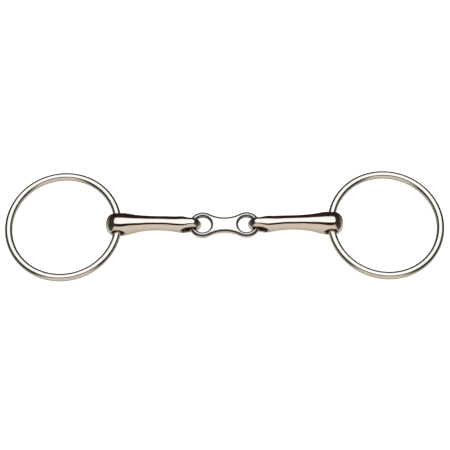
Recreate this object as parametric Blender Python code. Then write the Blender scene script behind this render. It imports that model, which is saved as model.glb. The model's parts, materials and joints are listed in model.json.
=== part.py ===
"""A loose-ring French-link snaffle bit: two rings, two mouthpiece arms and one link plate.

The bit lies flat on z = 0 with its mouthpiece along X. Each arm's eye is hooked through a hole of the link
plate and folds about Y there. Each ring runs through the hole in an arm's butt and swings about Y there.
"""

from math import asin, cos, pi, radians, sin, tan

import bmesh
import bpy

MM = 0.001

# Driving dimensions.
RING_HOLE_X = 65.0 * MM  # centre of the ring's hole, from the middle of the bit
RING_RADIUS = 33.6 * MM  # to the middle of the wire
WIRE_RADIUS = 2.25 * MM

LINK_THICKNESS = 3.4 * MM
LINK_HOLE_X = 13.3 * MM
LINK_HOLE_RADIUS = 5.1 * MM
LINK_LOBE_RADIUS = 8.3 * MM
LINK_WAIST_HALF_WIDTH = 4.9 * MM
LINK_RIM_ROUNDING = 0.9 * MM

EYE_RADIUS = 6.2 * MM  # outside of the eye, seen from the side
EYE_HALF_WIDTH = 3.4 * MM
EYE_TIP = 5.75 * MM  # from the pivot in towards the middle of the link's hole
SLOT_RADIUS = 2.8 * MM
SLOT_LENGTH = 8.2 * MM
SLOT_INNER_END = 2.6 * MM  # from the pivot in towards the tip
SLOT_STRAIGHT_HALF_WIDTH = 1.0 * MM  # the slot's walls flare out beyond this
# How the walls flare, as pairs: further out along Y, and how much larger the slot is there.
SLOT_FLARES = (
    (0.0, 0.0),
    (0.9 * MM, 0.25 * MM),
    (1.8 * MM, 0.65 * MM),
    (2.9 * MM, 1.3 * MM),
    (4.5 * MM, 2.8 * MM),
)

CANNON_RADIUS = 4.4 * MM  # the thinnest stretch of an arm
BUTT_RADIUS = 7.3 * MM
RING_HOLE_RADIUS = 3.0 * MM
RING_HOLE_STRAIGHT = 2.6 * MM  # half the length of the hole's straight throat
RING_HOLE_FLARE = 4.4 * MM  # radius of the rounding of the hole's mouths
RING_HOLE_FLARE_ANGLES = [radians(degrees) for degrees in (0, 25, 45, 60, 72)]  # steps round it
LINK_DROP = 0.5 * MM  # how far the link lies below the middle of the slots

# Places worked out from them.
PIVOT_X = LINK_HOLE_X + (LINK_HOLE_RADIUS + LINK_LOBE_RADIUS) / 2
EYE_Z = EYE_RADIUS
PIVOT_Z = EYE_Z - LINK_DROP
BUTT_Z = BUTT_RADIUS
RING_HOLE_U = RING_HOLE_X - PIVOT_X  # from the pivot out along the arm
EYE_CENTRE_U = EYE_RADIUS - EYE_TIP
RING_TILT = asin((BUTT_Z - WIRE_RADIUS) / (2 * RING_RADIUS))  # the ring's far side lies on z = 0

# Fineness of the curves.
WIRE_SIDES = 12
RING_STEPS = 64
ARM_SIDES = 20
ARM_STEP = 1.5 * MM
ROUND_END_STEPS = 7
HOLE_SIDES = 32
LOBE_STEPS = 26
WAIST_STEPS = 7
RIM_STEPS = 3
CUTTER_REACH = 3.0 * MM  # how far a cutter runs past the metal
SHARP_ANGLE = radians(50)  # edges sharper than this aren't shaded smooth

# Polished steel: colour and roughness.
PLATE_FINISH = ((0.86, 0.84, 0.80), 0.12)
ARM_FINISH = ((0.80, 0.76, 0.70), 0.16)
WIRE_FINISH = ((0.82, 0.79, 0.74), 0.12)

SIDES = {"left": -1, "right": 1}


def clear_scene():
    for obj in list(bpy.data.objects):
        bpy.data.objects.remove(obj, do_unlink=True)


def metal(name, colour, roughness):
    material = bpy.data.materials.new(name)
    material.use_nodes = True
    shader = material.node_tree.nodes["Principled BSDF"]
    shader.inputs["Base Color"].default_value = (*colour, 1.0)
    shader.inputs["Roughness"].default_value = roughness
    shader.inputs["Metallic"].default_value = 1.0
    return material


def place(name, mesh, material=None, location=(0.0, 0.0, 0.0)):
    """An object of this mesh, shaded smooth except at sharp edges."""
    mesh.shade_smooth()
    mesh.set_sharp_from_angle(angle=SHARP_ANGLE)
    if material:
        mesh.materials.append(material)
    obj = bpy.data.objects.new(name, mesh)
    obj.location = location
    bpy.context.scene.collection.objects.link(obj)
    return obj


def skin(name, loops, closed=False):
    """A mesh over a row of point loops of equal length: a ring when closed, or else capped at both ends.

    A loop of one point is a pole.
    """
    bm = bmesh.new()
    rows = [[bm.verts.new(point) for point in loop] for loop in loops]
    pairs = list(zip(rows, rows[1:]))
    if closed:
        pairs.append((rows[-1], rows[0]))
    for first, second in pairs:
        count = max(len(first), len(second))
        for i in range(count):
            j = (i + 1) % count
            corners = [first[i % len(first)], first[j % len(first)]]
            corners += [second[j % len(second)], second[i % len(second)]]
            bm.faces.new(list(dict.fromkeys(corners)))
    if not closed:
        for row in (rows[0], rows[-1]):
            if len(row) > 1:
                bm.faces.new(row)
    bmesh.ops.recalc_face_normals(bm, faces=bm.faces)
    mesh = bpy.data.meshes.new(name)
    bm.to_mesh(mesh)
    bm.free()
    return mesh


def cutter(name, mesh, location=(0.0, 0.0, 0.0)):
    obj = place(name, mesh, location=location)
    obj.hide_render = True
    obj.display_type = "WIRE"
    return obj


def cut(obj, tool):
    modifier = obj.modifiers.new(tool.name, "BOOLEAN")
    modifier.operation = "DIFFERENCE"
    modifier.solver = "EXACT"
    modifier.object = tool


def arc(centre, radius, start, end, steps):
    """Points of an arc in the plane, both ends included."""
    angles = [start + (end - start) * i / steps for i in range(steps + 1)]
    return [(centre[0] + radius * cos(a), centre[1] + radius * sin(a)) for a in angles]


def rounded_rim_levels(half_thickness, rounding, steps):
    """(height, inset) pairs from the lower face to the upper face of a plate with rounded rims."""
    straight = half_thickness - rounding
    quarter = [(pi / 2) * i / steps for i in range(steps + 1)]
    upper = [(straight + rounding * sin(a), rounding * (1 - cos(a))) for a in quarter]
    return [(-height, inset) for height, inset in reversed(upper)] + upper


def link_outline(inset):
    """The plate's outline: two round lobes, joined by waist arcs that touch them."""
    lobe = LINK_LOBE_RADIUS - inset
    waist = LINK_WAIST_HALF_WIDTH
    full_lobe = LINK_LOBE_RADIUS
    hollow = (LINK_HOLE_X**2 + waist**2 - full_lobe**2) / (2 * (full_lobe - waist))
    touch = asin(LINK_HOLE_X / (full_lobe + hollow))
    right = arc((LINK_HOLE_X, 0.0), lobe, -pi / 2 - touch, pi / 2 + touch, LOBE_STEPS)
    upper = arc((0.0, waist + hollow), hollow + inset, touch - pi / 2, -touch - pi / 2, WAIST_STEPS)
    half = right + upper[1:-1]
    return half + [(-x, -y) for x, y in half]


def link_body():
    """The plate without its holes, in its own middle."""
    loops = []
    for height, inset in rounded_rim_levels(LINK_THICKNESS / 2, LINK_RIM_ROUNDING, RIM_STEPS):
        loops.append([(x, y, height) for x, y in link_outline(inset)])
    return skin("link_plate", loops)


def link_hole_cutter():
    """A round bar along Z whose ends flare out, which leaves the hole's rims rounded."""
    levels = rounded_rim_levels(LINK_THICKNESS / 2, LINK_RIM_ROUNDING, RIM_STEPS)[1:-1]
    reach = LINK_THICKNESS / 2 + CUTTER_REACH
    flared = LINK_RIM_ROUNDING + CUTTER_REACH
    levels = [(-reach, flared)] + levels + [(reach, flared)]
    loops = []
    for height, inset in levels:
        circle = arc((0.0, 0.0), LINK_HOLE_RADIUS + inset, 0.0, 2 * pi, HOLE_SIDES)[:-1]
        loops.append([(x, y, height) for x, y in circle])
    return skin("link_hole_cutter", loops)


def smooth_between(stations, u):
    """Reads a smooth curve through (u, value) stations, level at both ends."""
    if u <= stations[0][0]:
        return stations[0][1]
    if u >= stations[-1][0]:
        return stations[-1][1]
    slopes = [0.0]
    for before, after in zip(stations, stations[2:]):
        slopes.append((after[1] - before[1]) / (after[0] - before[0]))
    slopes.append(0.0)
    end = next(i for i, (station, _) in enumerate(stations) if u <= station)
    (u0, v0), (u1, v1) = stations[end - 1 : end + 1]
    span = u1 - u0
    t = (u - u0) / span
    rise = v0 * (1 + 2 * t) * (1 - t) ** 2 + v1 * t * t * (3 - 2 * t)
    return rise + span * (slopes[end - 1] * t * (1 - t) ** 2 - slopes[end] * t * t * (1 - t))


# An arm's section along its length, as pairs: u, out from the pivot, and the value there.
HALF_HEIGHTS = (
    (EYE_CENTRE_U, EYE_RADIUS),
    (4.5 * MM, 6.0 * MM),
    (9.5 * MM, 4.95 * MM),
    (15.0 * MM, 4.5 * MM),
    (22.0 * MM, CANNON_RADIUS),
    (28.0 * MM, 4.7 * MM),
    (34.5 * MM, 5.55 * MM),
    (40.0 * MM, 6.75 * MM),
    (RING_HOLE_U, BUTT_RADIUS),
)
HALF_WIDTHS = (
    (EYE_CENTRE_U, EYE_HALF_WIDTH),
    (4.5 * MM, 4.6 * MM),
    (9.5 * MM, 4.7 * MM),
    (15.0 * MM, 4.5 * MM),
    (22.0 * MM, CANNON_RADIUS),
    (28.0 * MM, 4.7 * MM),
    (34.5 * MM, 5.55 * MM),
    (40.0 * MM, 6.75 * MM),
    (RING_HOLE_U, BUTT_RADIUS),
)
CENTRE_HEIGHTS = (
    (EYE_CENTRE_U, EYE_Z),
    (4.5 * MM, 6.4 * MM),
    (9.5 * MM, 7.5 * MM),
    (15.0 * MM, 8.6 * MM),
    (22.0 * MM, 9.1 * MM),
    (31.0 * MM, 8.9 * MM),
    (38.0 * MM, 8.0 * MM),
    (RING_HOLE_U, BUTT_Z),
)
# How square an arm's section is: 2 is an ellipse, and more is squarer.
SQUARENESS = ((EYE_CENTRE_U, 2.8), (15.0 * MM, 2.0), (RING_HOLE_U, 2.0))


def arm_section(side, u, shrink):
    """One loop of an arm at u, shrunk towards its middle for the round ends."""
    height = smooth_between(HALF_HEIGHTS, u) * shrink
    width = smooth_between(HALF_WIDTHS, u) * shrink
    middle = smooth_between(CENTRE_HEIGHTS, u) - PIVOT_Z
    power = 2 / smooth_between(SQUARENESS, u)
    points = []
    for i in range(ARM_SIDES):
        a = 2 * pi * i / ARM_SIDES
        y = width * abs(cos(a)) ** power * (1 if cos(a) > 0 else -1)
        z = height * abs(sin(a)) ** power * (1 if sin(a) > 0 else -1)
        points.append((side * u, y, middle + z))
    return points


def arm_body(side):
    """An arm without its holes, with the pivot at its origin: a loft with a round end at each side."""
    loops = [[(-side * EYE_TIP, 0.0, EYE_Z - PIVOT_Z)]]
    for i in range(1, ROUND_END_STEPS):
        a = (pi / 2) * i / ROUND_END_STEPS
        u = EYE_CENTRE_U - EYE_RADIUS * cos(a)
        loops.append(arm_section(side, u, sin(a)))
    steps = round((RING_HOLE_U - EYE_CENTRE_U) / ARM_STEP)
    for i in range(steps + 1):
        u = EYE_CENTRE_U + (RING_HOLE_U - EYE_CENTRE_U) * i / steps
        loops.append(arm_section(side, u, 1.0))
    for i in range(1, ROUND_END_STEPS):
        a = (pi / 2) * i / ROUND_END_STEPS
        u = RING_HOLE_U + BUTT_RADIUS * sin(a)
        loops.append(arm_section(side, u, cos(a)))
    loops.append([(side * (RING_HOLE_U + BUTT_RADIUS), 0.0, BUTT_Z - PIVOT_Z)])
    return skin("arm", loops)


def slot_cutter(side):
    """The eye's slot along Y: a long round-ended hole whose walls flare out towards both sides."""
    inner = -SLOT_INNER_END + SLOT_RADIUS
    outer = inner + SLOT_LENGTH - 2 * SLOT_RADIUS
    levels = [(SLOT_STRAIGHT_HALF_WIDTH + y, grow) for y, grow in SLOT_FLARES]
    levels = [(-y, grow) for y, grow in reversed(levels)] + levels
    loops = []
    for y, grow in levels:
        radius = SLOT_RADIUS + grow
        outline = arc((outer, 0.0), radius, -pi / 2, pi / 2, HOLE_SIDES // 2)
        outline += arc((inner, 0.0), radius, pi / 2, 3 * pi / 2, HOLE_SIDES // 2)
        loops.append([(side * u, y, EYE_Z - PIVOT_Z + z) for u, z in outline])
    return skin("slot_cutter", loops)


def ring_hole_cutter(side):
    """The ring's hole along Y: a straight throat, with both mouths rounded out."""
    levels = []
    for a in RING_HOLE_FLARE_ANGLES:
        y = RING_HOLE_STRAIGHT + RING_HOLE_FLARE * sin(a)
        levels.append((y, RING_HOLE_RADIUS + RING_HOLE_FLARE * (1 - cos(a))))
    beyond = BUTT_RADIUS + CUTTER_REACH
    last_y, last_radius = levels[-1]
    levels.append((beyond, last_radius + (beyond - last_y) * tan(RING_HOLE_FLARE_ANGLES[-1])))
    levels = [(-y, radius) for y, radius in reversed(levels)] + levels
    loops = []
    for y, radius in levels:
        circle = arc((RING_HOLE_U, 0.0), radius, 0.0, 2 * pi, HOLE_SIDES)[:-1]
        loops.append([(side * u, y, BUTT_Z - PIVOT_Z + z) for u, z in circle])
    return skin("ring_hole_cutter", loops)


def ring_wire(side):
    """A ring lying flat, with the middle of its wire at its origin on the inner side."""
    loops = []
    for i in range(RING_STEPS):
        a = 2 * pi * i / RING_STEPS
        loop = []
        for x, z in arc((RING_RADIUS, 0.0), WIRE_RADIUS, 0.0, 2 * pi, WIRE_SIDES)[:-1]:
            loop.append((side * (RING_RADIUS - x * cos(a)), x * sin(a), z))
        loops.append(loop)
    return skin("ring", loops, closed=True)


def make_link(material):
    link = place("link_plate", link_body(), material, (0.0, 0.0, PIVOT_Z))
    for name, side in SIDES.items():
        hole = cutter(f"link_hole_cutter_{name}", link_hole_cutter(), (side * LINK_HOLE_X, 0.0, PIVOT_Z))
        cut(link, hole)


def make_arm(name, side, material):
    pivot = (side * PIVOT_X, 0.0, PIVOT_Z)
    arm = place(f"mouthpiece_arm_{name}", arm_body(side), material, pivot)
    cut(arm, cutter(f"slot_cutter_{name}", slot_cutter(side), pivot))
    cut(arm, cutter(f"ring_hole_cutter_{name}", ring_hole_cutter(side), pivot))


def make_ring(name, side, material):
    hole = (side * RING_HOLE_X, 0.0, BUTT_Z)
    ring = place(f"ring_{name}", ring_wire(side), material, hole)
    ring.rotation_euler = (0.0, side * RING_TILT, 0.0)


clear_scene()
make_link(metal("polished_plate", *PLATE_FINISH))
for side_name, side_sign in SIDES.items():
    make_arm(side_name, side_sign, metal(f"polished_arm_{side_name}", *ARM_FINISH))
    make_ring(side_name, side_sign, metal(f"polished_wire_{side_name}", *WIRE_FINISH))
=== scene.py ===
import json
import math
from itertools import product

import bpy
import numpy as np
from mathutils import Matrix, Vector


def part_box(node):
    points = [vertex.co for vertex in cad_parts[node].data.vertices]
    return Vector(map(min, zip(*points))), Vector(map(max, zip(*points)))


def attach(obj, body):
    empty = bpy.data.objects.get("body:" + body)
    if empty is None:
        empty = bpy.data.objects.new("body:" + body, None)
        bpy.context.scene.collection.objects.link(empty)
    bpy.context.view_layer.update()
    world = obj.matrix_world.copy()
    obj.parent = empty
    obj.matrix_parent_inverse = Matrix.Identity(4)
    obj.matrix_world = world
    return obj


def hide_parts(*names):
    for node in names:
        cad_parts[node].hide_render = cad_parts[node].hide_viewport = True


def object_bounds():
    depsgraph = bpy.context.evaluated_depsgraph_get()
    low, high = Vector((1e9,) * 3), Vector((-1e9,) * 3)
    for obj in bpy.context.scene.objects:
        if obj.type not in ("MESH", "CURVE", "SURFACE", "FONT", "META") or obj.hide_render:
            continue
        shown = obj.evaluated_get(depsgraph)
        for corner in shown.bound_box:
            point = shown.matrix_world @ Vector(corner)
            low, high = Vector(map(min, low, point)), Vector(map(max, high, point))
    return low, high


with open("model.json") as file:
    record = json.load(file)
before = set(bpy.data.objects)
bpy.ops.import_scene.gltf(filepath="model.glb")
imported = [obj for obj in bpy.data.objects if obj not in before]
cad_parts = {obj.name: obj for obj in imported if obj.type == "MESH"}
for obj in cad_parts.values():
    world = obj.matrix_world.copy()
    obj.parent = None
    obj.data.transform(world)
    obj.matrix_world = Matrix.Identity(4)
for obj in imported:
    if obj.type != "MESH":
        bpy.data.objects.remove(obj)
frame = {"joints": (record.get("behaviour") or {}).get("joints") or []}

cad_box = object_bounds()
hinge = {joint["name"]: Vector(joint["pos_m"]) for joint in frame["joints"]}
MM = 0.001

# ---------------------------------------------------------------------------------------------
# Camera. A long lens far above the bench, tipped 24 degrees from straight down, so that the
# rings look almost round and both the flat plate and its thickness can be seen.
ELEVATION = math.radians(66.0)
ROLL = math.radians(0.35)
DISTANCE = 1.4
LENS = 183.5

camera_data = bpy.data.cameras.new("camera")
camera_data.lens = LENS
camera_data.clip_start = 0.05
camera = bpy.data.objects.new("camera", camera_data)
bpy.context.scene.collection.objects.link(camera)
towards_camera = Vector((0.0, -math.cos(ELEVATION), math.sin(ELEVATION)))
aim = Vector((0.25, 0.35, 5.0)) * MM
turn = (-towards_camera).to_track_quat("-Z", "Y").to_matrix() @ Matrix.Rotation(-ROLL, 3, "Z")
camera.matrix_world = Matrix.Translation(aim + towards_camera * DISTANCE) @ turn.to_4x4()
bpy.context.scene.camera = camera

# ---------------------------------------------------------------------------------------------
# Link plate. The flat middle piece that lies on the tongue: a steel plate with a round hole in
# each lobe, stamped out, its edges ground round and then buffed bright. Nothing is fixed to it:
# the arms' eyes are closed through its holes.
LINK_WALL = 3.2 * MM
LINK_WAIST = 4.9 * MM
LINK_RIM_HEIGHT = 1.25 * MM  # the rims are rounded this far down
LINK_RIM_WIDTH = 1.7 * MM  # and this far in from the outline
LINK_HOLE_RIM_WIDTH = 1.45 * MM
LINK_STEP = 0.24 * MM
LINK_COLOUR = (0.93, 0.925, 0.92)
LINK_FINISH = {"Wave Size": 60.0, "Wave Depth": 0.012, "Gloss": 0.05, "Marks": 0.05}
SHADE_AND_SMEAR_SHARE = (0.10, 0.085, 0.06)  # the share of its colour that steel keeps at full dullness, where the painted shade is darkest; the smears lean a little towards it too
DULL_ROUGHNESS = 0.22  # and how much rougher it is
# How much dullness the rim has, and so how darkly shade is painted on its colour, by degrees round it from
# the flat face to the wall.
LINK_RIM_ANGLES = (3.0, 14.0, 48.0, 72.0)
LINK_RIM_DULL_AND_SHADE = (0.0, 1.0, 0.95, 0.0)
LINK_HOLE_DULL_AND_SHADE = (0.0, 1.0, 0.8, 0.55)


def project(field, points):
    """Moves points onto the surface where the field is zero, by two steps down its slope."""
    reach = 0.01 * MM
    for _ in range(2):
        slope = np.empty_like(points)
        for axis in range(3):
            shift = np.zeros(3)
            shift[axis] = reach
            slope[:, axis] = (field(points + shift) - field(points - shift)) / (2 * reach)
        steepness = np.maximum((slope**2).sum(1), 0.05)
        points = points - slope * (field(points) / steepness)[:, None]
    return points


def surface_of(field, low, high, step, rounds=8):
    """Points and quads of the closed surface where the field is zero, evenly spread over it.

    One point is made in each cell that the surface passes through, and one quad round each edge
    of the grid that it crosses. Then the points are evened out and put back on the surface.
    """
    axes = [np.arange(lo - 2 * step, hi + 3 * step, step) for lo, hi in zip(low, high)]
    grid = np.stack(np.meshgrid(*axes, indexing="ij"), -1)
    inside = field(grid) < 0
    sizes = [size - 1 for size in inside.shape]
    corners = []
    for start in product((0, 1), repeat=3):
        corners.append(inside[tuple(slice(s, s + size) for s, size in zip(start, sizes))])
    crossed = np.logical_or.reduce(corners) & ~np.logical_and.reduce(corners)
    number = np.full(crossed.shape, -1)
    number[crossed] = np.arange(crossed.sum())
    points = grid[:-1, :-1, :-1][crossed] + step / 2
    quads = []
    for axis in range(3):
        across, up = (axis + 1) % 3, (axis + 2) % 3
        first = np.take(inside, range(inside.shape[axis] - 1), axis)
        second = np.take(inside, range(1, inside.shape[axis]), axis)
        edges = np.argwhere(first != second)
        ring = []
        for step_across, step_up in ((-1, -1), (0, -1), (0, 0), (-1, 0)):
            cells = edges.copy()
            cells[:, across] += step_across
            cells[:, up] += step_up
            ring.append(number[tuple(cells.T)])
        ring = np.stack(ring, 1)
        inwards = ~first[first != second]
        ring[inwards] = ring[inwards][:, ::-1]
        quads.append(ring)
    quads = np.concatenate(quads)
    ends = np.concatenate([quads[:, [k, (k + 1) % 4]] for k in range(4)])
    count = np.bincount(ends[:, 0], minlength=len(points))[:, None]
    for _ in range(rounds):
        near = [np.bincount(ends[:, 0], points[ends[:, 1], k], len(points)) for k in range(3)]
        points = project(field, (points + np.stack(near, 1) / count) / 2)
    return points, quads


def mesh_object(name, points, faces, material, dull_and_shade):
    """A smooth mesh that keeps, for each point, its steel's dullness, which also sets how much painted shade
    darkens its colour.
    """
    mesh = bpy.data.meshes.new(name)
    mesh.from_pydata(points.tolist(), [], faces.tolist())
    mesh.attributes.new("dull_and_shade", "FLOAT", "POINT").data.foreach_set("value", dull_and_shade)
    mesh.shade_smooth()
    mesh.materials.append(material)
    piece = bpy.data.objects.new(name, mesh)
    bpy.context.scene.collection.objects.link(piece)
    return piece


def new_group(name, inputs, outputs):
    """An empty shader node group with these sockets, as (name, type, value) and (name, type)."""
    group = bpy.data.node_groups.new(name, "ShaderNodeTree")
    for label, kind, value in inputs:
        socket = group.interface.new_socket(label, in_out="INPUT", socket_type=kind)
        if value is not None:
            socket.default_value = value
    for label, kind in outputs:
        group.interface.new_socket(label, in_out="OUTPUT", socket_type=kind)
    return group, group.nodes.new("NodeGroupInput"), group.nodes.new("NodeGroupOutput")


def noise_node(tree, vector, scale, detail=3.0, roughness=0.5):
    node = tree.nodes.new("ShaderNodeTexNoise")
    node.inputs["Scale"].default_value = scale
    node.inputs["Detail"].default_value = detail
    node.inputs["Roughness"].default_value = roughness
    tree.links.new(vector, node.inputs["Vector"])
    return node.outputs["Fac"]


def map_node(tree, value, from_low, from_high, to_low, to_high):
    """Eases a value from one range into another."""
    node = tree.nodes.new("ShaderNodeMapRange")
    node.interpolation_type = "SMOOTHSTEP"
    labels = "From Min", "From Max", "To Min", "To Max"
    for label, number in zip(labels, (from_low, from_high, to_low, to_high)):
        node.inputs[label].default_value = number
    tree.links.new(value, node.inputs["Value"])
    return node.outputs["Result"]


def polish_and_shade():
    """Polished steel: slow waves that the buffing wheel leaves, fine scratches, and finger marks.

    Where the input for dullness is high, the steel is rougher and its colour is darkened: painted shade in
    recesses and along rims.
    """
    group, given, made = new_group(
        "polish_and_shade",
        [
            ("Place", "NodeSocketVector", None),
            ("Dull And Shade", "NodeSocketFloat", 0.0),
            ("Wave Size", "NodeSocketFloat", 90.0),
            ("Wave Depth", "NodeSocketFloat", 0.1),
            ("Gloss", "NodeSocketFloat", 0.06),
            ("Marks", "NodeSocketFloat", 0.05),
        ],
        [("Roughness", "NodeSocketFloat"), ("Tone", "NodeSocketFloat"), ("Normal", "NodeSocketVector")],
    )
    links = group.links
    wave = group.nodes.new("ShaderNodeTexNoise")
    wave.inputs["Detail"].default_value = 1.0
    links.new(given.outputs["Place"], wave.inputs["Vector"])
    links.new(given.outputs["Wave Size"], wave.inputs["Scale"])
    bump = group.nodes.new("ShaderNodeBump")
    bump.inputs["Distance"].default_value = 0.5 * MM
    links.new(given.outputs["Wave Depth"], bump.inputs["Strength"])
    links.new(wave.outputs["Fac"], bump.inputs["Height"])
    links.new(bump.outputs["Normal"], made.inputs["Normal"])
    smears = map_node(group, noise_node(group, given.outputs["Place"], 260.0, 4.0), 0.4, 0.75, 0.0, 1.0)
    scratches = map_node(group, noise_node(group, given.outputs["Place"], 2600.0, 2.0), 0.55, 0.8, 0.0, 1.0)
    both = group.nodes.new("ShaderNodeMath")
    both.operation = "MULTIPLY_ADD"
    both.inputs[1].default_value = 0.5
    links.new(scratches, both.inputs[0])
    links.new(smears, both.inputs[2])
    rougher = group.nodes.new("ShaderNodeMath")
    rougher.operation = "MULTIPLY_ADD"
    links.new(both.outputs[0], rougher.inputs[0])
    links.new(given.outputs["Marks"], rougher.inputs[1])
    links.new(given.outputs["Gloss"], rougher.inputs[2])
    duller = group.nodes.new("ShaderNodeMath")
    duller.operation = "MULTIPLY_ADD"
    duller.inputs[1].default_value = DULL_ROUGHNESS
    links.new(given.outputs["Dull And Shade"], duller.inputs[0])
    links.new(rougher.outputs[0], duller.inputs[2])
    links.new(duller.outputs[0], made.inputs["Roughness"])
    # The input for dullness lowers the tone: painted shade.
    darker = group.nodes.new("ShaderNodeMath")
    darker.operation = "SUBTRACT"
    links.new(map_node(group, both.outputs[0], 0.0, 1.5, 1.0, 0.94), darker.inputs[0])
    links.new(given.outputs["Dull And Shade"], darker.inputs[1])
    links.new(darker.outputs[0], made.inputs["Tone"])
    return group


polish_and_shade_group = polish_and_shade()


def steel(name, colour, settings):
    """Bright steel whose tone, gloss and waviness come from the polish and shade group, the tone darkened as
    painted shade where the steel's dullness is high.
    """
    material = bpy.data.materials.new(name)
    material.use_nodes = True
    tree = material.node_tree
    shader = tree.nodes["Principled BSDF"]
    shader.inputs["Metallic"].default_value = 1.0
    place = tree.nodes.new("ShaderNodeTexCoord")
    polish = tree.nodes.new("ShaderNodeGroup")
    polish.node_tree = polish_and_shade_group
    for label, value in settings.items():
        polish.inputs[label].default_value = value
    tree.links.new(place.outputs["Object"], polish.inputs["Place"])
    # The point attribute of dullness darkens the colour here: painted shade.
    dull_and_shade = tree.nodes.new("ShaderNodeAttribute")
    dull_and_shade.attribute_name = "dull_and_shade"
    tree.links.new(dull_and_shade.outputs["Fac"], polish.inputs["Dull And Shade"])
    tone = tree.nodes.new("ShaderNodeMix")
    tone.data_type = "RGBA"
    dark = [share * channel for share, channel in zip(SHADE_AND_SMEAR_SHARE, colour)]
    tone.inputs["A"].default_value = (*dark, 1.0)
    tone.inputs["B"].default_value = (*colour, 1.0)
    tree.links.new(polish.outputs["Tone"], tone.inputs["Factor"])
    tree.links.new(tone.outputs["Result"], shader.inputs["Base Color"])
    tree.links.new(polish.outputs["Roughness"], shader.inputs["Roughness"])
    tree.links.new(polish.outputs["Normal"], shader.inputs["Normal"])
    return material


link_low, link_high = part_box("link_plate")
link_middle = (link_low + link_high) / 2
link_half_thickness = (link_high.z - link_low.z) / 2
lobe_radius = (link_high.y - link_low.y) / 2
lobe_x = link_high.x - lobe_radius
hollow_radius = (lobe_x**2 + LINK_WAIST**2 - lobe_radius**2) / (2 * (lobe_radius - LINK_WAIST))


def link_rims(points):
    """How far a point is past the flat: over the outline's rim, over a hole's, and down.

    1 is the end of the rim.
    """
    x = np.abs(points[..., 0] - link_middle.x)
    y = np.abs(points[..., 1] - link_middle.y)
    z = np.abs(points[..., 2] - link_middle.z)
    hollow_y = LINK_WAIST + hollow_radius
    to_lobe = np.hypot(x - lobe_x, y)
    to_hollow = np.hypot(x, y - hollow_y)
    between = x * hollow_y + y * lobe_x < lobe_x * hollow_y
    outline = np.where(between, hollow_radius - to_hollow, to_lobe - lobe_radius)
    in_hole = (lobe_radius - LINK_WALL) - to_lobe
    past_outline = outline / LINK_RIM_WIDTH + 1
    past_hole = in_hole / LINK_HOLE_RIM_WIDTH + 1
    return past_outline, past_hole, (z - link_half_thickness) / LINK_RIM_HEIGHT + 1


def link_field(points):
    """Distance to the plate: two lobes, the hollows between them, the holes and the rounded rims."""
    past_outline, past_hole, above = link_rims(points)
    beside = np.maximum(past_outline, past_hole)
    corner = np.hypot(np.maximum(beside, 0), np.maximum(above, 0))
    return (np.minimum(np.maximum(beside, above), 0) + corner - 1) * LINK_RIM_HEIGHT


link_steel = steel("link_steel", LINK_COLOUR, LINK_FINISH)
link_points, link_quads = surface_of(link_field, link_low, link_high, LINK_STEP)
past_outline, past_hole, above = link_rims(link_points)
beside = np.maximum(np.maximum(past_outline, past_hole), 0)
round_rim = np.degrees(np.arctan2(beside, np.maximum(above, 1e-9)))
# The rims' and holes' dullness darkens their colour: painted shade along the rounded rims and in the holes.
link_dull_and_shade = np.where(
    past_hole > past_outline,
    np.interp(round_rim, LINK_RIM_ANGLES, LINK_HOLE_DULL_AND_SHADE),
    np.interp(round_rim, LINK_RIM_ANGLES, LINK_RIM_DULL_AND_SHADE),
)
link = mesh_object("link_plate_polished", link_points, link_quads, link_steel, link_dull_and_shade)
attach(link, "link")
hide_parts("link_plate")

# ---------------------------------------------------------------------------------------------
# Mouthpiece arms. Each is one steel casting: a thick butt with the ring's hole, a thinner waisted
# middle that arches over the tongue, and a flat eye with a long slot that holds the link plate.
# The slot's and the hole's edges are ground round, so that nothing can cut the mouth or the wire.
EYE_RADIUS = 6.2 * MM
EYE_TIP = 5.75 * MM
SLOT_RADIUS = 2.8 * MM
SLOT_ENDS = (0.2 * MM, 2.8 * MM)
SLOT_THROAT = 1.0 * MM
SLOT_FLARE = (0.66, 1.05 * MM)
HOLE_RADIUS = 3.0 * MM
HOLE_THROAT = 2.6 * MM
HOLE_FLARE = 4.4 * MM
EDGE_ROUNDING = 0.5 * MM
ARM_STEP = 0.3 * MM
BUTT_BLUNTNESS = 2.35  # 2 is a ball: the butt is cut off a little flatter than that
EYE_SQUARENESS = 2.8  # 2 is an ellipse: the eye's section is nearer a rounded block
SQUARE_END = 15.0 * MM  # from the pivot, where the section has become an ellipse
FLARE_SHARE = 0.95  # how much of the hole mouth's quarter round is used
MOUTH_LEAN = 3.0  # and how steeply the mouth opens beyond it
LEAST_SLOPE = 20.0  # keeps distances finite deep inside the arm
ARM_COLOUR = (0.90, 0.87, 0.83)
ARM_FINISH = {"Wave Size": 95.0, "Wave Depth": 0.62, "Gloss": 0.07, "Marks": 0.06}
DULL_AND_SHADE_DEPTH = (0.3 * MM, 1.5 * MM)  # the slot and hole walls turn rougher, with painted shade darkening them, between these depths

pivot = hinge["arm_right_fold"]
ring_hole = hinge["ring_right_swing"]
hole_u = ring_hole.x - pivot.x
butt_radius = ring_hole.z
eye_u = EYE_RADIUS - EYE_TIP
stations_mm = (eye_u / MM, 4.5, 9.5, 15.0, 22.0, 28.0, 34.5, 40.0, hole_u / MM)
half_heights_mm = (6.2, 6.0, 4.95, 4.5, 4.4, 4.7, 5.55, 6.75, butt_radius / MM)
half_widths_mm = (3.5, 4.6, 4.7, 4.5, 4.4, 4.7, 5.55, 6.75, butt_radius / MM)
centres_mm = (6.2, 6.4, 7.5, 8.6, 9.1, 9.1, 8.5, 7.8, butt_radius / MM)


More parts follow.
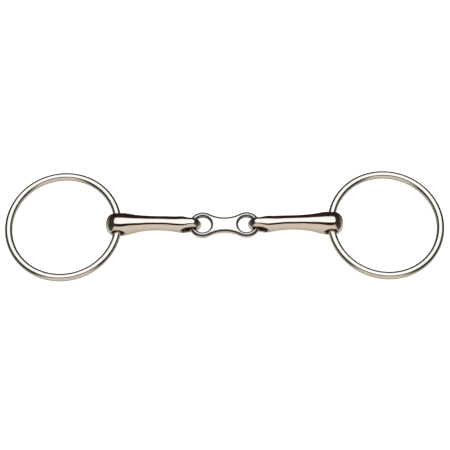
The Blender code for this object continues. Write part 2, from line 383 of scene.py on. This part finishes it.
def curve_through(stations, values):
    """A smooth curve through the stations, level at both ends, with no jump in how it bends."""
    stations = np.array(stations) * MM
    values = np.array(values) * MM
    gap = np.diff(stations)
    rise = np.diff(values) / gap
    rule = np.eye(len(stations))
    right = np.zeros(len(stations))
    for i in range(1, len(stations) - 1):
        rule[i, i - 1 : i + 2] = gap[i], 2 * (gap[i - 1] + gap[i]), gap[i - 1]
        right[i] = 3 * (gap[i] * rise[i - 1] + gap[i - 1] * rise[i])
    slope = np.linalg.solve(rule, right)

    def read(u):
        u = np.clip(u, stations[0], stations[-1])
        i = np.clip(np.searchsorted(stations, u) - 1, 0, len(gap) - 1)
        t = (u - stations[i]) / gap[i]
        whole = values[i] * (1 + 2 * t) * (1 - t) ** 2 + values[i + 1] * t * t * (3 - 2 * t)
        return whole + gap[i] * (slope[i] * t * (1 - t) ** 2 - slope[i + 1] * t * t * (1 - t))

    return read


half_height = curve_through(stations_mm, half_heights_mm)
half_width = curve_through(stations_mm, half_widths_mm)
centre_height = curve_through(stations_mm, centres_mm)


def cut_away(solid, hole):
    """The solid without the hole, with the edge between them rounded."""
    rounding = np.maximum(EDGE_ROUNDING - np.abs(solid + hole), 0)
    return np.maximum(solid, -hole) + rounding**2 / (4 * EDGE_ROUNDING)


def arm_parts(points):
    """Distances to the right arm's solid body, its slot and its ring hole, good close to them."""
    u = points[..., 0] - pivot.x
    v = np.abs(points[..., 1])
    high, wide, middle = half_height(u), half_width(u), centre_height(u)
    towards_ellipse = np.clip((u - eye_u) / (SQUARE_END - eye_u), 0, 1)
    square = 2.0 + (EYE_SQUARENESS - 2.0) * (1 - towards_ellipse) ** 2
    a = v / wide
    b = np.abs(points[..., 2] - middle) / high
    past_eye = np.maximum((eye_u - u) / EYE_RADIUS, 0)
    past_butt = np.maximum((u - hole_u) / butt_radius, 0)
    flat = np.maximum((a**BUTT_BLUNTNESS + past_butt**BUTT_BLUNTNESS) ** (1 / BUTT_BLUNTNESS), 1e-6)
    size = (flat**square + b**square) ** (1 / square)
    reach = np.hypot(size, past_eye)
    share = (flat / size) ** (square - 1)
    sideways = share * (a / flat) ** (BUTT_BLUNTNESS - 1) / wide
    endways = share * (past_butt / flat) ** (BUTT_BLUNTNESS - 1) / butt_radius
    upwards = (np.maximum(b, 1e-9) / size) ** (square - 1) / high
    slope = np.sqrt(size**2 * (sideways**2 + endways**2 + upwards**2) + (past_eye / EYE_RADIUS) ** 2) / reach
    body = (reach - 1) / np.maximum(slope, LEAST_SLOPE)

    lean, start = SLOT_FLARE
    past_throat = np.maximum(v - SLOT_THROAT, 0)
    slot_wide = SLOT_RADIUS + lean * (np.hypot(past_throat, start) - start)
    slot_lean = lean * past_throat / np.hypot(past_throat, start)
    along = u - np.clip(u, *SLOT_ENDS)
    slot = (np.hypot(along, points[..., 2] - EYE_RADIUS) - slot_wide) / np.hypot(1, slot_lean)

    past_throat = np.clip(v - HOLE_THROAT, 0, FLARE_SHARE * HOLE_FLARE)
    drop = np.sqrt(HOLE_FLARE**2 - past_throat**2)
    past_flare = np.maximum(v - HOLE_THROAT - FLARE_SHARE * HOLE_FLARE, 0)
    hole_wide = HOLE_RADIUS + HOLE_FLARE - drop + MOUTH_LEAN * past_flare
    to_axis = np.hypot(u - hole_u, points[..., 2] - ring_hole.z)
    hole = (to_axis - hole_wide) / np.hypot(1, past_throat / drop)
    return body, slot, hole


def arm_field(points):
    body, slot, hole = arm_parts(points)
    return cut_away(cut_away(body, slot), hole)


arm_steel = steel("arm_steel", ARM_COLOUR, ARM_FINISH)
arm_low, arm_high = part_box("mouthpiece_arm_right")
arm_points, arm_quads = surface_of(arm_field, arm_low, arm_high, ARM_STEP)
# Dullness grows with depth into the body: the slot and hole walls are made rougher and painted with shade as
# darker colour.
arm_dull_and_shade = np.interp(-arm_parts(arm_points)[0], DULL_AND_SHADE_DEPTH, (0.0, 0.95))
for side, sign in (("left", -1), ("right", 1)):
    faces = arm_quads if sign > 0 else arm_quads[:, ::-1]
    name = f"mouthpiece_arm_{side}_polished"
    arm = mesh_object(name, arm_points * (sign, 1, 1), faces, arm_steel, arm_dull_and_shade)
    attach(arm, f"arm_{side}")
    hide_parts(f"mouthpiece_arm_{side}")

# ---------------------------------------------------------------------------------------------
# Rings. Each is one length of round steel wire, bent to a circle through the butt's hole, butt
# welded, and ground and buffed until the joint can't be found. It runs loose in the hole.
RING_STEPS = 320
WIRE_STEPS = 48
WIRE_SQUARENESS = 2.3  # 2 is round: the ground wire is a little flatter on its four sides
RING_COLOUR = (0.92, 0.90, 0.87)
RING_EDGE_SHADE = (0.12, 0.11, 0.10, 1.0)  # painted shade: a dark edge tint that darkens the steel seen edge on, drawing dark outlines along the wire
RING_FINISH = {"Wave Size": 120.0, "Wave Depth": 0.02, "Gloss": 0.06, "Marks": 0.05}


def squared_place(tree, given):
    """Where each point of the wire's section goes: each coordinate takes a power, keeping its sign."""
    nodes, links = tree.nodes, tree.links
    share = nodes.new("ShaderNodeMath")
    share.operation = "DIVIDE"
    share.inputs[0].default_value = 2.0
    links.new(given.outputs["Squareness"], share.inputs[1])
    split, join = nodes.new("ShaderNodeSeparateXYZ"), nodes.new("ShaderNodeCombineXYZ")
    links.new(nodes.new("GeometryNodeInputPosition").outputs["Position"], split.inputs["Vector"])
    for axis in "XY":
        value = split.outputs[axis]
        for operation, operand in (
            ("DIVIDE", given.outputs["Wire Radius"]),
            ("ABSOLUTE", None),
            ("POWER", share.outputs[0]),
            ("MULTIPLY", given.outputs["Wire Radius"]),
        ):
            node = nodes.new("ShaderNodeMath")
            node.operation = operation
            links.new(value, node.inputs[0])
            if operand:
                links.new(operand, node.inputs[1])
            value = node.outputs[0]
        signed = nodes.new("ShaderNodeMath")
        signed.operation = "SIGN"
        links.new(split.outputs[axis], signed.inputs[0])
        back = nodes.new("ShaderNodeMath")
        back.operation = "MULTIPLY"
        links.new(value, back.inputs[0])
        links.new(signed.outputs[0], back.inputs[1])
        links.new(back.outputs[0], join.inputs[axis])
    return join.outputs["Vector"]


def ring_tree():
    """Geometry nodes that sweep a round wire about a circle and stand it in the butt's hole."""
    tree = bpy.data.node_groups.new("bent_ring", "GeometryNodeTree")
    nodes, links = tree.nodes, tree.links
    tree.interface.new_socket("Geometry", in_out="INPUT", socket_type="NodeSocketGeometry")
    for label in ("Ring Radius", "Wire Radius", "Squareness", "Tilt"):
        tree.interface.new_socket(label, in_out="INPUT", socket_type="NodeSocketFloat")
    for label in ("Ring Steps", "Wire Steps"):
        tree.interface.new_socket(label, in_out="INPUT", socket_type="NodeSocketInt")
    tree.interface.new_socket("Centre", in_out="INPUT", socket_type="NodeSocketVector")
    tree.interface.new_socket("Steel", in_out="INPUT", socket_type="NodeSocketMaterial")
    tree.interface.new_socket("Geometry", in_out="OUTPUT", socket_type="NodeSocketGeometry")
    given, made = nodes.new("NodeGroupInput"), nodes.new("NodeGroupOutput")
    circle = nodes.new("GeometryNodeCurvePrimitiveCircle")
    section = nodes.new("GeometryNodeCurvePrimitiveCircle")
    squared = nodes.new("GeometryNodeSetPosition")
    sweep = nodes.new("GeometryNodeCurveToMesh")
    links.new(given.outputs["Ring Radius"], circle.inputs["Radius"])
    links.new(given.outputs["Ring Steps"], circle.inputs["Resolution"])
    links.new(given.outputs["Wire Radius"], section.inputs["Radius"])
    links.new(given.outputs["Wire Steps"], section.inputs["Resolution"])
    links.new(circle.outputs["Curve"], sweep.inputs["Curve"])
    links.new(section.outputs["Curve"], squared.inputs["Geometry"])
    links.new(squared_place(tree, given), squared.inputs["Position"])
    links.new(squared.outputs["Geometry"], sweep.inputs["Profile Curve"])
    turn_by = nodes.new("ShaderNodeCombineXYZ")
    links.new(given.outputs["Tilt"], turn_by.inputs["Y"])
    stand = nodes.new("GeometryNodeTransform")
    links.new(sweep.outputs["Mesh"], stand.inputs["Geometry"])
    links.new(given.outputs["Centre"], stand.inputs["Translation"])
    links.new(turn_by.outputs["Vector"], stand.inputs["Rotation"])
    real = nodes.new("GeometryNodeRealizeInstances")
    links.new(stand.outputs["Geometry"], real.inputs["Geometry"])
    paint = nodes.new("GeometryNodeSetMaterial")
    links.new(real.outputs["Geometry"], paint.inputs["Geometry"])
    links.new(given.outputs["Steel"], paint.inputs["Material"])
    links.new(paint.outputs["Geometry"], made.inputs["Geometry"])
    return tree


def plain_mesh(name, tree, values):
    """The mesh that a geometry nodes tree makes from these input values, as a new object."""
    maker = bpy.data.objects.new(name + "_maker", bpy.data.meshes.new(name + "_maker"))
    bpy.context.scene.collection.objects.link(maker)
    modifier = maker.modifiers.new("make", "NODES")
    modifier.node_group = tree
    for item in tree.interface.items_tree:
        if item.in_out == "INPUT" and item.name in values:
            modifier[item.identifier] = values[item.name]
    graph = bpy.context.evaluated_depsgraph_get()
    evaluated = maker.evaluated_get(graph)
    mesh = bpy.data.meshes.new_from_object(evaluated, preserve_all_data_layers=True, depsgraph=graph)
    mesh.name = name
    mesh.shade_smooth()
    bpy.data.objects.remove(maker)
    piece = bpy.data.objects.new(name, mesh)
    bpy.context.scene.collection.objects.link(piece)
    return piece


ring_steel = steel("ring_steel", RING_COLOUR, RING_FINISH)
# The dark edge tint paints shade along the wire's outline.
ring_steel.node_tree.nodes["Principled BSDF"].inputs["Specular Tint"].default_value = RING_EDGE_SHADE
bent_ring = ring_tree()
for side, sign in (("left", -1), ("right", 1)):
    low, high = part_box(f"ring_{side}")
    hole = hinge[f"ring_{side}_swing"]
    wire_radius = min(abs(low.x - hole.x), abs(high.x - hole.x))
    ring_radius = (high.y - low.y) / 2 - wire_radius
    tilt = math.asin((hole.z - low.z - wire_radius) / (2 * ring_radius))
    centre = hole + Vector((sign * math.cos(tilt), 0.0, -math.sin(tilt))) * ring_radius
    ring = plain_mesh(
        f"ring_{side}_wire",
        bent_ring,
        {
            "Ring Radius": ring_radius,
            "Wire Radius": wire_radius,
            "Squareness": WIRE_SQUARENESS,
            "Tilt": sign * tilt,
            "Ring Steps": RING_STEPS,
            "Wire Steps": WIRE_STEPS,
            "Centre": centre,
            "Steel": ring_steel,
        },
    )
    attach(ring, f"ring_{side}")
    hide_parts(f"ring_{side}")

# ---------------------------------------------------------------------------------------------
# Bench and light. A pale matt light table, which glows a little, under one large soft light. The
# steel mirrors the room: a white light bank above, a dark room round it, and warm boards in front.
FLOOR_SIZE = 6.0
FLOOR_COLOURS = ((0.86, 0.86, 0.855, 1.0), (0.90, 0.90, 0.90, 1.0))
FLOOR_CLOUDS = 12.0  # how fine the mottling is
FLOOR_GLOW = 0.72
LAMP_SIZE = 6.0
LAMP_POWER = 55.0
LAMP_PLACE = (0.0, 0.2, 1.5)

floor_material = bpy.data.materials.new("matt_bench")
floor_material.use_nodes = True
floor_tree = floor_material.node_tree
floor_place = floor_tree.nodes.new("ShaderNodeTexCoord")
floor_shade = floor_tree.nodes.new("ShaderNodeMix")
floor_shade.data_type = "RGBA"
floor_shade.inputs["A"].default_value = FLOOR_COLOURS[0]
floor_shade.inputs["B"].default_value = FLOOR_COLOURS[1]
floor_clouds = noise_node(floor_tree, floor_place.outputs["Object"], FLOOR_CLOUDS)
floor_tree.links.new(floor_clouds, floor_shade.inputs["Factor"])
floor_shader = floor_tree.nodes["Principled BSDF"]
floor_shader.inputs["Roughness"].default_value = 0.9
floor_shader.inputs["Specular IOR Level"].default_value = 0.1
floor_shader.inputs["Emission Color"].default_value = (1.0, 1.0, 1.0, 1.0)
floor_shader.inputs["Emission Strength"].default_value = FLOOR_GLOW
floor_tree.links.new(floor_shade.outputs["Result"], floor_shader.inputs["Base Color"])
edge = FLOOR_SIZE / 2
floor_mesh = bpy.data.meshes.new("bench")
floor_corners = [(-edge, -edge, 0), (edge, -edge, 0), (edge, edge, 0), (-edge, edge, 0)]
floor_mesh.from_pydata(floor_corners, [], [(0, 1, 2, 3)])
floor_mesh.materials.append(floor_material)
floor = bpy.data.objects.new("bench", floor_mesh)
floor.location.z = min(0.0, cad_box[0].z) - 0.05 * MM
floor.visible_glossy = False
bpy.context.scene.collection.objects.link(floor)

bank_data = bpy.data.lights.new("light_bank", "AREA")
bank_data.shape = "SQUARE"
bank_data.size = LAMP_SIZE
bank_data.energy = LAMP_POWER
bank = bpy.data.objects.new("light_bank", bank_data)
bank.location = LAMP_PLACE
bank.visible_glossy = False
bpy.context.scene.collection.objects.link(bank)

world = bpy.data.worlds.new("room")
bpy.context.scene.world = world
world.use_nodes = True
room = world.node_tree
room.nodes.clear()


def maths(operation, first, second=None):
    """A math node of the room's tree. Each operand is a number or another node's output."""
    node = room.nodes.new("ShaderNodeMath")
    node.operation = operation
    for socket, operand in zip(node.inputs, (first, second)):
        if isinstance(operand, (int, float)):
            socket.default_value = operand
        elif operand is not None:
            room.links.new(operand, socket)
    return node.outputs[0]


def soft_step(value, low, high):
    return map_node(room, value, low, high, 0.0, 1.0)


def ramp(value, stops):
    """Colours by height: each stop is the height's angle over the horizon in degrees, and a colour."""
    node = room.nodes.new("ShaderNodeValToRGB")
    elements = node.color_ramp.elements
    elements.remove(elements[1])
    for i, (angle, colour) in enumerate(stops):
        position = (angle + 90) / 180
        element = elements.new(position) if i else elements[0]
        element.position = position
        element.color = (*colour, 1.0)
    room.links.new(value, node.inputs["Fac"])
    return node.outputs["Color"]


def blend_colour(factor, first, second):
    node = room.nodes.new("ShaderNodeMix")
    node.data_type = "RGBA"
    for label, operand in (("Factor", factor), ("A", first), ("B", second)):
        if isinstance(operand, tuple):
            node.inputs[label].default_value = (*operand, 1.0)
        else:
            room.links.new(operand, node.inputs[label])
    return node.outputs["Result"]


# The walls, as pairs: degrees over the horizon, and the colour there.
SIDE_WALL = (
    (-90, (0.34, 0.31, 0.26)),
    (-30, (0.74, 0.71, 0.62)),
    (-19, (0.06, 0.06, 0.04)),
    (10, (0.036, 0.040, 0.026)),
    (62, (0.032, 0.026, 0.021)),
)
BACK_WALL = (
    (-90, (0.10, 0.075, 0.06)),
    (-40, (0.04, 0.02, 0.02)),
    (20, (0.022, 0.009, 0.010)),
    (45, (0.075, 0.042, 0.036)),
)
FRONT_WALL = (
    (-90, (0.48, 0.41, 0.33)),
    (-30, (0.60, 0.54, 0.46)),
    (10, (0.70, 0.61, 0.52)),
    (44, (0.74, 0.61, 0.51)),
    (49, (0.018, 0.009, 0.007)),
    (78, (0.014, 0.007, 0.006)),
)
# Where one wall turns into the next, by how far north a direction points: 1 is due north.
BACK_CORNER = (0.25, 0.75)
FRONT_CORNER = (-0.62, -0.93)
# The bank, in a ceiling one unit up: half its width and depth, and its middle to the north.
BANK_HALF_WIDTH = 0.72
BANK_HALF_DEPTH = 0.66
BANK_NORTH = 0.40
BANK_POWER = 2.5  # 2 is an ellipse, and more is squarer
BANK_EDGE = (1.03, 0.97)
BANK_COLOUR = (1.10, 1.10, 1.08)
BACKDROP = (0.92, 0.92, 0.92)  # the room as the camera sees it
LEVEL_LEAST = 0.001  # keeps the divisions below finite

sight = room.nodes.new("ShaderNodeTexCoord")
parts = room.nodes.new("ShaderNodeSeparateXYZ")
room.links.new(sight.outputs["Generated"], parts.inputs["Vector"])
east, north, up = parts.outputs
level = maths("SQRT", maths("ADD", maths("MULTIPLY", east, east), maths("MULTIPLY", north, north)))
height = maths("DIVIDE", maths("ADD", maths("ARCTAN2", up, level), math.pi / 2), math.pi)
ahead = maths("DIVIDE", north, maths("MAXIMUM", level, LEVEL_LEAST))
side_wall = ramp(height, SIDE_WALL)
back_wall = ramp(height, BACK_WALL)
front_wall = ramp(height, FRONT_WALL)
walls = blend_colour(soft_step(ahead, *BACK_CORNER), side_wall, back_wall)
walls = blend_colour(soft_step(ahead, *FRONT_CORNER), walls, front_wall)
over = maths("MAXIMUM", up, LEVEL_LEAST)
bank_x = maths("DIVIDE", maths("DIVIDE", east, over), BANK_HALF_WIDTH)
past_middle = maths("SUBTRACT", maths("DIVIDE", north, over), BANK_NORTH)
bank_y = maths("DIVIDE", past_middle, BANK_HALF_DEPTH)
across = maths("POWER", maths("ABSOLUTE", bank_x), BANK_POWER)
along = maths("POWER", maths("ABSOLUTE", bank_y), BANK_POWER)
bank_reach = maths("POWER", maths("ADD", across, along), 1 / BANK_POWER)
overhead = maths("GREATER_THAN", up, LEVEL_LEAST)
in_bank = maths("MULTIPLY", soft_step(bank_reach, *BANK_EDGE), overhead)
mirrored = blend_colour(in_bank, walls, BANK_COLOUR)
seen = room.nodes.new("ShaderNodeLightPath")
shown = blend_colour(seen.outputs["Is Camera Ray"], mirrored, BACKDROP)
background = room.nodes.new("ShaderNodeBackground")
room.links.new(shown, background.inputs["Color"])
room_output = room.nodes.new("ShaderNodeOutputWorld")
room.links.new(background.outputs["Background"], room_output.inputs["Surface"])

bpy.context.scene.view_settings.view_transform = "Standard"
